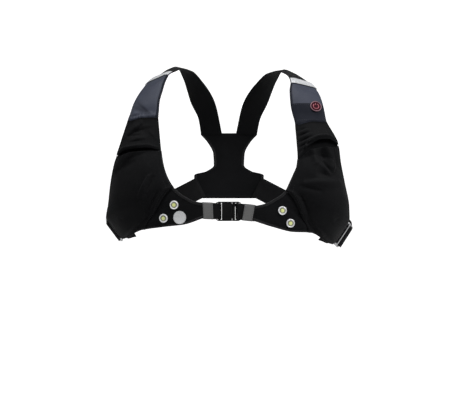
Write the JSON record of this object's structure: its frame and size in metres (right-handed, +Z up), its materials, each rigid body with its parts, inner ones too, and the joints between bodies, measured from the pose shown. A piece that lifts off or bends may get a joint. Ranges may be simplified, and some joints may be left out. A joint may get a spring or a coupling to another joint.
{
  "type": "led sport vest",
  "caption": "Front-buckled sport vest of black cloth shaped as worn, with padded charcoal shoulder straps, stretch chest pockets, front lights, a red switch and side adjusters.",
  "frame": {"origin": "On the centre plane, level with the undersides of the straps where they lie on the shoulders", "axes": "+X to the wearer's left, +Y to the wearer's back, +Z up"},
  "size_m": [0.4207, 0.2525, 0.3137],
  "materials": {
    "panel_cloth": "matte laminated cloth with bound edges",
    "stretch_cloth": "matte black stretch cloth",
    "pad_cloth": "satin charcoal cloth over padding",
    "cover_cloth": "satin dark charcoal cloth",
    "reflective_tape": "pale reflective tape",
    "grey_sleeve": "grey woven band",
    "black_webbing": "black woven webbing",
    "black_plastic": "moulded black plastic, slightly glossy",
    "slide_metal": "plated steel wire, slightly dull",
    "bright_bezel": "bright plated plastic",
    "lamp_lens": "clear domed lens over a yellow-green lamp",
    "button_red": "soft red moulded button",
    "patch_cloth": "plain pale reflective disc"
  },
  "bodies": {
    "root": {"chest_panel_left": "panel_cloth", "chest_panel_right": "panel_cloth", "back_panel": "panel_cloth", "pocket_flap_left": "stretch_cloth", "pocket_flap_right": "stretch_cloth", "pocket_front_left": "stretch_cloth", "pocket_front_right": "stretch_cloth", "back_strap_left": "stretch_cloth", "back_strap_right": "stretch_cloth", "shoulder_pad_left": "pad_cloth", "shoulder_pad_right": "pad_cloth", "switch_cover": "cover_cloth", "reflective_tape_left": "reflective_tape", "reflective_tape_right": "reflective_tape", "webbing_sleeve_left": "grey_sleeve", "webbing_sleeve_right": "grey_sleeve", "chest_webbing_left": "black_webbing", "chest_webbing_right": "black_webbing", "side_strap_left": "black_webbing", "side_strap_right": "black_webbing", "corner_tab_left": "black_webbing", "corner_tab_right": "black_webbing", "buckle_socket": "black_plastic", "buckle_plug": "black_plastic", "side_adjuster_left": "slide_metal", "side_adjuster_right": "slide_metal", "light_bezel_upper_left": "bright_bezel", "light_bezel_lower_left": "bright_bezel", "light_bezel_upper_right": "bright_bezel", "light_bezel_lower_right": "bright_bezel", "light_lens_upper_left": "lamp_lens", "light_lens_lower_left": "lamp_lens", "light_lens_upper_right": "lamp_lens", "light_lens_lower_right": "lamp_lens", "power_button": "button_red", "round_patch": "patch_cloth"}
  },
  "joints": []
}
